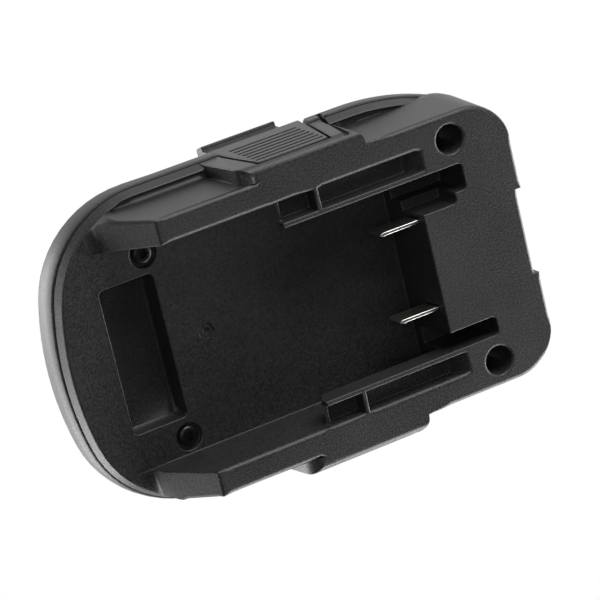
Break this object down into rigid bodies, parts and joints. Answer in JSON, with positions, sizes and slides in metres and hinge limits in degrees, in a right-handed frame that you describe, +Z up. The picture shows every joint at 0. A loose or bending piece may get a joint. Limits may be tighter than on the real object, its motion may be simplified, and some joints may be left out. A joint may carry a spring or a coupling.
{
  "type": "tool battery adapter",
  "caption": "Moulded adapter with a slide-in battery dock below, a contact stem above and sprung latch buttons on its sides.",
  "frame": {"origin": "centre of the footprint at the faces of the two rails, on which the adapter stands", "axes": "+X towards the closed end of the dock with the blades, +Y to the left latch, +Z up along the stem to the tool"},
  "size_m": [0.1226, 0.08, 0.077],
  "materials": {
    "case_plastic": "fine spark-eroded texture, satin",
    "latch_plastic": "satin with moulded ribs",
    "spring_steel": "drawn wire",
    "nickel": "bright nickel plate",
    "insulator": "plain moulded",
    "zinc_screw": "zinc plate",
    "red_lead": "soft insulation",
    "black_lead": "soft insulation",
    "shrink_sleeve": "shrink tube",
    "black_screw": "black oxide"
  },
  "bodies": {
    "case": {"battery_side_shell": "case_plastic", "tool_side_shell": "case_plastic", "left_latch_spring": "spring_steel", "right_latch_spring": "spring_steel", "positive_blade": "nickel", "negative_blade": "nickel", "blade_holder": "insulator", "blade_holder_screws": "zinc_screw", "positive_stem_contact": "nickel", "negative_stem_contact": "nickel", "contact_carrier": "insulator", "carrier_screws": "zinc_screw", "positive_lead": "red_lead", "negative_lead": "black_lead", "positive_lead_sleeves": "shrink_sleeve", "negative_lead_sleeves": "shrink_sleeve", "rear_case_screws": "black_screw", "front_case_screws": "black_screw"},
    "left_latch": {"left_latch": "latch_plastic"},
    "right_latch": {"right_latch": "latch_plastic"}
  },
  "joints": [
    {"name": "left_latch_slide", "type": "slide", "parent": "case", "child": "left_latch", "axis": [0, -1, 0], "range_m": [0, 0.0022], "stiffness_N_per_m": 900, "springref_m": -0.002, "deforming": ["left_latch_spring"]},
    {"name": "right_latch_slide", "type": "slide", "parent": "case", "child": "right_latch", "axis": [0, 1, 0], "range_m": [0, 0.0022], "stiffness_N_per_m": 900, "springref_m": -0.002, "deforming": ["right_latch_spring"]}
  ]
}
